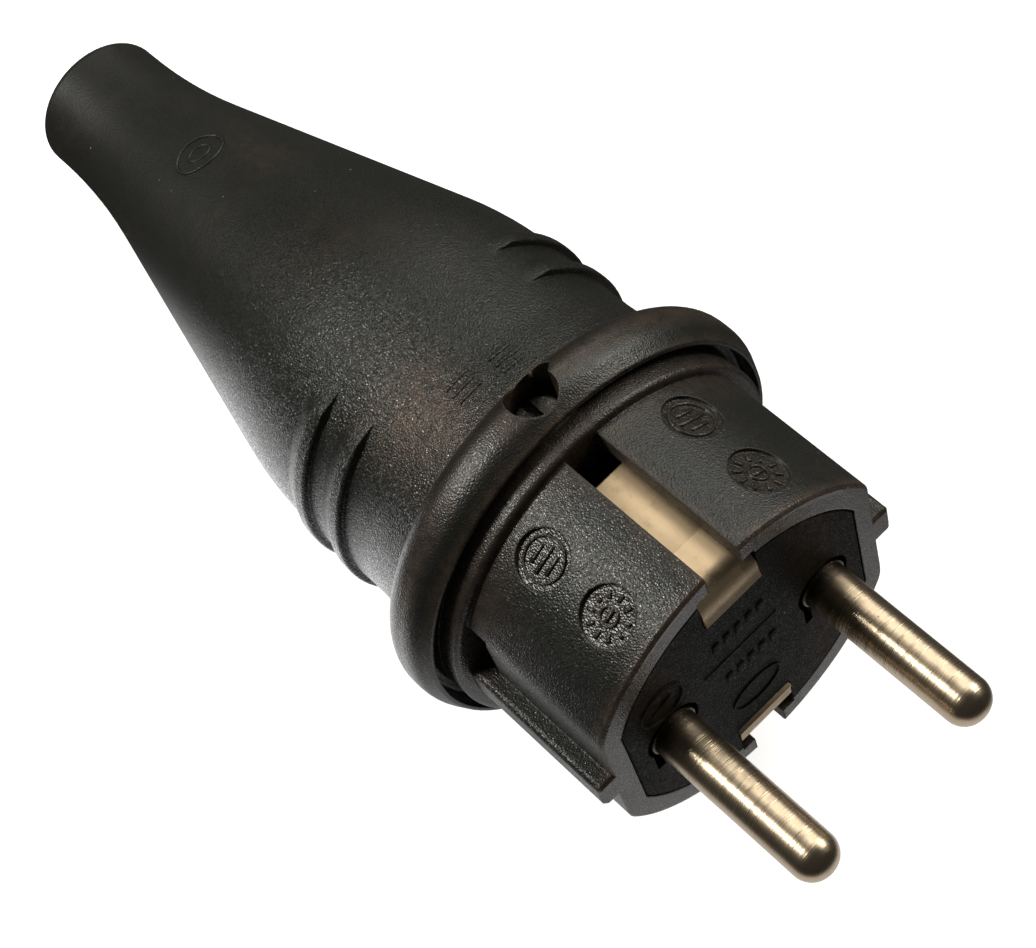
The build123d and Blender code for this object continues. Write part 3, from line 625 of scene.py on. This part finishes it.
def metal_material(
    name, settings, colour, tarnish, darkening, pitch, roughness, strength=1.0, pitted=0.0, stain=0.7
):
    """Plated metal with turned lines, tarnish, dark specks, and a darkening mask that darkens the pins'
    roots and paints shade on the strip and the screw.
    """
    material, wires, shader = start_material(name)
    place = wires.group("plug place")
    lines = wires.group("turned lines", Along=place["Along"], Pitch=pitch)
    cloud = wires.noise(place["Place"], scale=0.5, detail=4.0, roughness=0.65)
    spots = wires.noise(place["Place"], scale=2.2, detail=3.0, roughness=0.7, offset=9.0)
    spots = wires.times(wires.band(spots, low=0.62, high=0.78), 0.6)
    dull = wires.times(wires.larger(wires.band(cloud, low=0.5, high=0.8), spots), stain)
    tinted = wires.blend(dull, solid_colour(colour), solid_colour(tarnish))
    grain = wires.noise(place["Place"], scale=3.0, detail=3.0, roughness=0.8, offset=21.0)
    # The darkening mask blends towards the dark colour: painted shade on the strip and the screw, and the
    # dark roots of the pins
    dark = wires.times(darkening(wires, place), wires.band(grain, low=0.05, high=0.5))
    dirt_and_shade = solid_colour(settings.dirt_and_shade_colour)
    tinted = wires.blend(dark, tinted, dirt_and_shade)
    dirty = wires.group(
        "dust specks", Place=place["Place"], Colour=tinted, Dust=dirt_and_shade, Amount=DIRT_AMOUNT
    )
    wires.feed(shader.inputs["Base Color"], dirty["Colour"])
    wires.feed(shader.inputs["Metallic"], wires.spread(dirty["Specks"], low=1.0, high=DIRT_METALLIC))
    tone = wires.spread(wires.larger(dull, dark), roughness, roughness + DULL_GAIN)
    wires.feed(shader.inputs["Roughness"], wires.add_times(tone, lines["Tone"], LINE_GAIN))
    soft, _ = rounded_edges(wires, place, METAL_EDGE)
    height = wires.add_times(lines["Height"], grain, pitted)
    wires.feed(shader.inputs["Normal"], bump_normal(wires, height, soft, strength, LINE_DEPTH))
    return material


def pin_root_dark(wires, place):
    """Dark at the root of the pins."""
    return wires.band(place["Along"], low=3.2, high=0.3)


def strip_painted_shade(wires, place):
    """Painted shade on the strip: dark at the slot's right edge where the wall shades it, on the hook's
    bend, on the strip's front and inside the plug.
    """
    # Painted shade along the slot's right wall
    edge = wires.times(wires.band(place["Side"], low=1.45, high=2.05), 0.6)
    # Painted shade on the hook's bend
    hook = wires.times(wires.near(place["Along"], -0.9, reach=1.1), 0.75)
    # Painted shade on the strip's front
    front = wires.times(wires.band(place["Along"], low=-0.6, high=0.4), 0.7)
    # Painted shade on the strip inside the plug
    deep = wires.band(place["Out"], low=15.2, high=14.6)
    inside = wires.times(deep, wires.band(place["Along"], low=-3.0, high=-4.0))
    return wires.larger(wires.larger(edge, inside), wires.larger(hook, front))


def screw_painted_shade(wires, place):
    """Painted shade over the head, as deep in a pocket, which fades out towards the pins and leaves that
    edge bright.
    """
    # The painted shade stops over the head's edge towards the pins, which stays bright
    rubbed = wires.band(place["Along"], SCREW_CENTRE + 0.6, SCREW_CENTRE + 1.6)
    return wires.spread(rubbed, low=0.9, high=0.0)


def add_ring(form, half_width, half_depth, line, rise, centre=(0.0, 0.0)):
    """A raised oval line: a tapered section turned once round."""
    old = set(form.verts)
    slope = line / 4
    section = (
        (half_width - line, -RELIEF_SINK),
        (half_width - line + slope, rise),
        (half_width - slope, rise),
        (half_width, -RELIEF_SINK),
    )
    points = [form.verts.new((across, 0, up)) for across, up in section]
    sides = [form.edges.new((points[k - 1], points[k])) for k in range(len(points))]
    bmesh.ops.spin(
        form,
        geom=points + sides,
        cent=(0, 0, 0),
        axis=(0, 0, 1),
        angle=tau,
        steps=RING_STEPS,
        use_merge=True,
    )
    made = [corner for corner in form.verts if corner not in old]
    bmesh.ops.scale(form, vec=(1, half_depth / half_width, 1), verts=made)
    bmesh.ops.translate(form, vec=(*centre, 0), verts=made)


def soften(form, edges, offset, segments):
    """Rounds the edges."""
    bmesh.ops.bevel(
        form,
        geom=edges,
        offset=offset,
        offset_type="OFFSET",
        segments=segments,
        profile=0.5,
        affect="EDGES",
        material=-1,
    )


def add_bar(form, length, width, rise, centre=(0.0, 0.0), turn=0.0):
    """A raised bar with soft edges."""
    made = bmesh.ops.create_cube(form, size=1.0)["verts"]
    bmesh.ops.scale(form, vec=(length, width, rise + RELIEF_SINK), verts=made)
    bmesh.ops.translate(form, vec=(0, 0, (rise - RELIEF_SINK) / 2), verts=made)
    bmesh.ops.rotate(form, cent=(0, 0, 0), matrix=Matrix.Rotation(turn, 3, "Z"), verts=made)
    bmesh.ops.translate(form, vec=(*centre, 0), verts=made)
    edges = list({edge for corner in made for edge in corner.link_edges})
    soften(form, edges, offset=min(width, rise) * BEVEL_SHARE, segments=2)


def add_dial(form):
    """A mould dial: a ring of ticks about a small ring with a pointer."""
    add_ring(form, *DIAL_RING)
    add_bar(form, *DIAL_POINTER)
    for step in range(DIAL_TICKS):
        turn = tau * step / DIAL_TICKS
        add_bar(form, *DIAL_TICK, (DIAL_RADIUS * cos(turn), DIAL_RADIUS * sin(turn)), turn)


def add_barred_ring(form):
    """A ring around three short bars."""
    add_ring(form, *BARRED_RING)
    for row, length in RING_ROWS:
        add_bar(form, length, RING_BAR_WIDTH, RING_BAR_RISE, (0, row))


def add_piece(form, name, node):
    """A finished piece with its node's material, riding with the plug."""
    mesh = bpy.data.meshes.new(name)
    form.to_mesh(mesh)
    form.free()
    mesh.shade_smooth()
    mesh.materials.append(NODES[node].data.materials[0])
    piece = bpy.data.objects.new(name, mesh)
    bpy.context.scene.collection.objects.link(piece)
    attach(piece, BODY)


def seat_relief(form, name, node, centre, outward, across):
    """Lays a flat relief on a node's surface, where it rides with the plug."""
    surface = BVHTree.FromObject(NODES[node], bpy.context.evaluated_depsgraph_get())
    along = outward.cross(across)
    world_outward = PLUG_TURN @ outward
    for corner in form.verts:
        flat = centre + across * corner.co.x + along * corner.co.y
        found = surface.ray_cast(PLUG @ (flat + outward * RAY_CLEARANCE), -world_outward)[0]
        if found is None:
            raise RuntimeError(f"{name} lies off {node}")
        corner.co = found + world_outward * corner.co.z * MM
    bmesh.ops.recalc_face_normals(form, faces=form.faces)
    add_piece(form, name, node)


def seat_around(form, name, node, along, angle):
    """Lays a flat relief on the plug's round side, at an angle from its top."""
    outward = Vector((0, sin(angle), cos(angle)))
    across = Vector((0, cos(angle), -sin(angle)))
    centre = Vector((along, 0, 0)) + outward * MARK_HEIGHT
    seat_relief(form, name, node, centre, outward, across)


class PLUG_OT_finish_hood(Operator):
    """Finishes the soft hood with its flange"""

    bl_idname = "plug.finish_hood"
    bl_label = "Finish Hood"

    def execute(self, context):
        settings = context.scene.plug_rubber
        material = rubber_material("hood_rubber", settings.hood_colour, settings, hood_masks, edge=0.3)
        dress("rear_boot", material)
        return {"FINISHED"}


class PLUG_OT_finish_sleeve(Operator):
    """Finishes the sleeve that enters the socket"""

    bl_idname = "plug.finish_sleeve"
    bl_label = "Finish Sleeve"

    def execute(self, context):
        settings = context.scene.plug_rubber
        material = rubber_material("sleeve_rubber", settings.sleeve_colour, settings, sleeve_masks)
        dress("front_shell", material)
        return {"FINISHED"}


class PLUG_OT_finish_insert(Operator):
    """Finishes the hard insert and the cord clamp"""

    bl_idname = "plug.finish_insert"
    bl_label = "Finish Insert"

    def execute(self, context):
        settings = context.scene.plug_rubber
        material = rubber_material(
            "insert_plastic",
            settings.insert_colour,
            settings,
            insert_masks,
            roughness=0.66,
            edge=0.15,
            grain=1.3,
            gloss=0.055,
        )
        for node in ("contact_carrier", "cord_clamp"):
            dress(node, material)
        return {"FINISHED"}


class PLUG_OT_finish_metal(Operator):
    """Finishes the pins, the earth strip and the fasteners"""

    bl_idname = "plug.finish_metal"
    bl_label = "Finish Metal"

    def execute(self, context):
        settings = context.scene.plug_metal
        pitch = settings.line_pitch
        pin = metal_material(
            "pin_nickel",
            settings,
            settings.pin_colour,
            PIN_TARNISH,
            pin_root_dark,
            pitch,
            roughness=0.24,
            stain=0.3,
        )
        strip = metal_material(
            "strip_nickel",
            settings,
            settings.strip_colour,
            STRIP_TARNISH,
            strip_painted_shade,
            4 * pitch,
            roughness=0.42,
            strength=0.15,
        )
        screw = metal_material(
            "screw_zinc",
            settings,
            settings.screw_colour,
            SCREW_TARNISH,
            screw_painted_shade,
            2 * pitch,
            roughness=0.45,
            pitted=6.0,
        )
        finishes = dict(zip(METAL_SLOTS, (pin, strip, screw)))
        for node, slot in METAL_NODES.items():
            dress(node, finishes[slot])
        return {"FINISHED"}


class PLUG_OT_lay_strip_ends(Operator):
    """Adds the flat ends of the earth strip that reach back over its bends"""

    bl_idname = "plug.lay_strip_ends"
    bl_label = "Lay Strip Ends"

    def execute(self, context):
        length = STRIP_END_FRONT - STRIP_END_REAR
        for name, up in (("strip_end_top", 1), ("strip_end_bottom", -1)):
            form = bmesh.new()
            made = bmesh.ops.create_cube(form, size=1.0)["verts"]
            bmesh.ops.scale(form, vec=(length, STRIP_END_WIDTH, STRIP_END_THICKNESS), verts=made)
            middle = (STRIP_END_FRONT - length / 2, 0, up * (STRIP_END_TOP - STRIP_END_THICKNESS / 2))
            bmesh.ops.translate(form, vec=middle, verts=made)
            tilt = Matrix.Rotation(up * STRIP_END_TILT, 3, "Y")
            hinge = (STRIP_END_FLUSH, 0, up * STRIP_END_TOP)
            bmesh.ops.rotate(form, cent=hinge, matrix=tilt, verts=made)
            soften(form, list(form.edges), offset=STRIP_END_EDGE, segments=3)
            bmesh.ops.transform(form, matrix=PLUG, verts=form.verts)
            add_piece(form, name, "earth_strip")
        return {"FINISHED"}


class PLUG_OT_mould_hood_marks(Operator):
    """Adds a plain oval on the neck and two groups of plain bars behind the flange"""

    bl_idname = "plug.mould_hood_marks"
    bl_label = "Mould Hood Marks"

    def execute(self, context):
        form = bmesh.new()
        for ring in NECK_RINGS:
            add_ring(form, *ring)
        seat_around(form, "neck_mark", "rear_boot", NECK_MARK, 0.0)
        for name, along, angle, length in HOOD_BARS:
            form = bmesh.new()
            for row in HOOD_BAR_ROWS:
                add_bar(form, length, HOOD_BAR_WIDTH, HOOD_BAR_RISE, (0, row))
            seat_around(form, name, "rear_boot", along, radians(angle))
        return {"FINISHED"}


class PLUG_OT_mould_sleeve_marks(Operator):
    """Adds a plain mark in each of the sleeve's four round recesses"""

    bl_idname = "plug.mould_sleeve_marks"
    bl_label = "Mould Sleeve Marks"

    def execute(self, context):
        rows = (("front", RECESS_FRONT, add_dial), ("rear", RECESS_REAR, add_barred_ring))
        for side_name, side in (("left", -1), ("right", 1)):
            for row_name, along, add_mark in rows:
                form = bmesh.new()
                add_mark(form)
                name = f"recess_mark_{row_name}_{side_name}"
                angle = side * radians(RECESS_ANGLE)
                seat_around(form, name, "front_shell", along, angle)
        return {"FINISHED"}


class PLUG_OT_mould_face_marks(Operator):
    """Adds plain rings and dashes on the insert's front face"""

    bl_idname = "plug.mould_face_marks"
    bl_label = "Mould Face Marks"

    def execute(self, context):
        form = bmesh.new()
        add_ring(form, *OVAL_RING, OVAL_CENTRE)
        add_ring(form, *ROUND_RING, ROUND_CENTRE)
        add_bar(form, *ROUND_BAR, ROUND_CENTRE, radians(ROUND_BAR_TURN))
        for row, first in DASH_ROWS:
            for step in range(DASHES):
                add_bar(form, *FACE_DASH, (first + DASH_PITCH * step, row))
        add_bar(form, *FACE_LINE, FACE_LINE_CENTRE)
        centre = AHEAD * FACE_MARK_HEIGHT
        seat_relief(form, "face_marks", "contact_carrier", centre, AHEAD, ACROSS)
        return {"FINISHED"}


def seen_rays(wires):
    """1 for rays that show the backdrop to the camera, straight or through glass; and gloss."""
    rays = wires.node("ShaderNodeLightPath").outputs
    return wires.larger(rays["Is Camera Ray"], rays["Is Transmission Ray"]), rays["Is Glossy Ray"]


def nearness(wires, coordinates, middle, reach):
    """1 near a place on the floor, fading to 0 at the reach."""
    inputs = {0: coordinates, 1: tuple(middle)}
    away = wires.node("ShaderNodeVectorMath", inputs, operation="DISTANCE").outputs["Value"]
    return wires.band(away, reach, reach * GLOW_CORE)


def paper_material(settings):
    """White to the camera, with the plug's shadow; bright in gloss near the plug; clear from below."""
    material, wires, shader = start_material("floor_paper")
    shader.inputs["Roughness"].default_value = PAPER_ROUGHNESS
    shader.inputs["Specular IOR Level"].default_value = PAPER_GLOSS
    shader.inputs["Emission Color"].default_value = (1, 1, 1, 1)
    coordinates = wires.node("ShaderNodeTexCoord").outputs["Object"]
    by_grip = nearness(wires, coordinates, settings.grip_glow_place, settings.grip_glow_reach)
    by_pins = nearness(wires, coordinates, settings.pin_glow_place, settings.pin_glow_reach)
    by_plug = nearness(wires, coordinates, (0, 0, 0), SHADOW_REACH)
    seen, glossy = seen_rays(wires)
    paper = wires.blend(glossy, solid_colour(settings.floor_colour), solid_colour(PAPER_IN_GLOSS))
    wires.feed(shader.inputs["Base Color"], paper)
    shown = wires.add_times(wires.times(by_pins, settings.pin_glow), by_grip, settings.grip_glow)
    paper_light = wires.spread(by_plug, low=1.0, high=settings.paper_glow)
    glow = wires.add_times(wires.times(glossy, shown), seen, paper_light)
    wires.feed(shader.inputs["Emission Strength"], glow)
    below = wires.node("ShaderNodeNewGeometry").outputs["Backfacing"]
    clear = wires.node("ShaderNodeBsdfTransparent").outputs["BSDF"]
    sheet = wires.node("ShaderNodeMixShader", {0: below, 1: shader.outputs["BSDF"], 2: clear})
    output = material.node_tree.nodes["Material Output"]
    wires.feed(output.inputs["Surface"], sheet.outputs["Shader"])
    return material


def make_floor(settings):
    """A large flat sheet of paper under the plug."""
    mesh = bpy.data.meshes.new("floor")
    form = bmesh.new()
    bmesh.ops.create_grid(form, x_segments=1, y_segments=1, size=FLOOR_REACH)
    form.to_mesh(mesh)
    form.free()
    mesh.materials.append(paper_material(settings))
    floor = bpy.data.objects.new("floor", mesh)
    bpy.context.scene.collection.objects.link(floor)


def make_room(strength):
    """Even light from all round, white to the camera."""
    world = bpy.data.worlds.new("room")
    bpy.context.scene.world = world
    world.use_nodes = True
    wires = Wires(world.node_tree)
    background = world.node_tree.nodes["Background"]
    background.inputs["Color"].default_value = solid_colour(ROOM_COLOUR)
    seen, _ = seen_rays(wires)
    wires.feed(background.inputs["Strength"], wires.spread(seen, low=strength, high=1.0))


def make_lamp(name, place, size, power):
    """A square lamp that faces the plug, placed by its heading, height angle and distance."""
    heading, height, distance = radians(place[0]), radians(place[1]), place[2]
    lamp = bpy.data.lights.new(name, "AREA")
    lamp.shape = "SQUARE"
    lamp.size = size
    lamp.energy = power
    lamp.color = LAMP_COLOUR
    holder = bpy.data.objects.new(name, lamp)
    bpy.context.scene.collection.objects.link(holder)
    away = Vector((cos(heading) * cos(height), sin(heading) * cos(height), sin(height)))
    turned = (-away).to_track_quat("-Z", "Y").to_matrix().to_4x4()
    holder.matrix_world = Matrix.Translation(PLUG @ LAMP_AIM + away * distance) @ turned


def make_camera(settings):
    """The camera at the photograph's angle, for a picture of its width and height."""
    lens = bpy.data.cameras.new("camera")
    lens.sensor_fit = "HORIZONTAL"
    lens.sensor_width = SENSOR_WIDTH
    lens.lens = settings.focal_length
    lens.clip_start = CLIP_START
    holder = bpy.data.objects.new("camera", lens)
    bpy.context.scene.collection.objects.link(holder)
    place = PLUG @ Vector(settings.camera_place)
    towards = (PLUG @ Vector(settings.camera_aim) - place).to_track_quat("-Z", "Y").to_matrix()
    roll = Matrix.Rotation(settings.camera_roll, 3, "Z")
    holder.matrix_world = Matrix.Translation(place) @ (towards @ roll).to_4x4()
    bpy.context.scene.camera = holder


class PLUG_OT_set_stage(Operator):
    """Sets the floor, the lights, the room and the camera"""

    bl_idname = "plug.set_stage"
    bl_label = "Set Stage"

    def execute(self, context):
        settings = context.scene.plug_studio
        make_floor(settings)
        make_room(settings.room_light)
        for lamp in LAMPS:
            place = getattr(settings, f"{lamp}_place")
            size = getattr(settings, f"{lamp}_size")
            make_lamp(f"{lamp}_light", place, size, getattr(settings, f"{lamp}_power"))
        make_camera(settings)
        context.scene.view_settings.view_transform = "Standard"
        return {"FINISHED"}


STEPS = (
    PLUG_OT_finish_hood,
    PLUG_OT_finish_sleeve,
    PLUG_OT_finish_insert,
    PLUG_OT_finish_metal,
    PLUG_OT_lay_strip_ends,
    PLUG_OT_mould_hood_marks,
    PLUG_OT_mould_sleeve_marks,
    PLUG_OT_mould_face_marks,
    PLUG_OT_set_stage,
)


class PLUG_PT_dressing(Panel):
    """Lists the plug's operators and settings"""

    bl_label = "Plug"
    bl_space_type = "VIEW_3D"
    bl_region_type = "UI"
    bl_category = "Plug"

    def draw(self, context):
        layout = self.layout
        scene = context.scene
        for settings in (scene.plug_rubber, scene.plug_metal, scene.plug_studio):
            box = layout.box()
            for name in settings.__annotations__:
                box.prop(settings, name)
        for step in STEPS:
            layout.operator(step.bl_idname)


CLASSES = (RubberSettings, MetalSettings, StudioSettings, *STEPS, PLUG_PT_dressing)


def register():
    """Makes the classes known and hangs the settings on the scene."""
    for cls in CLASSES:
        bpy.utils.register_class(cls)
    bpy.types.Scene.plug_rubber = PointerProperty(type=RubberSettings)
    bpy.types.Scene.plug_metal = PointerProperty(type=MetalSettings)
    bpy.types.Scene.plug_studio = PointerProperty(type=StudioSettings)


def unregister():
    """Takes the settings and the classes away again."""
    del bpy.types.Scene.plug_rubber
    del bpy.types.Scene.plug_metal
    del bpy.types.Scene.plug_studio
    for cls in reversed(CLASSES):
        bpy.utils.unregister_class(cls)


def main():
    """Runs every step in order."""
    register()
    build_shared_effects()
    for step in STEPS:
        group, name = step.bl_idname.split(".")
        getattr(getattr(bpy.ops, group), name)()


if __name__ == "__main__":
    main()
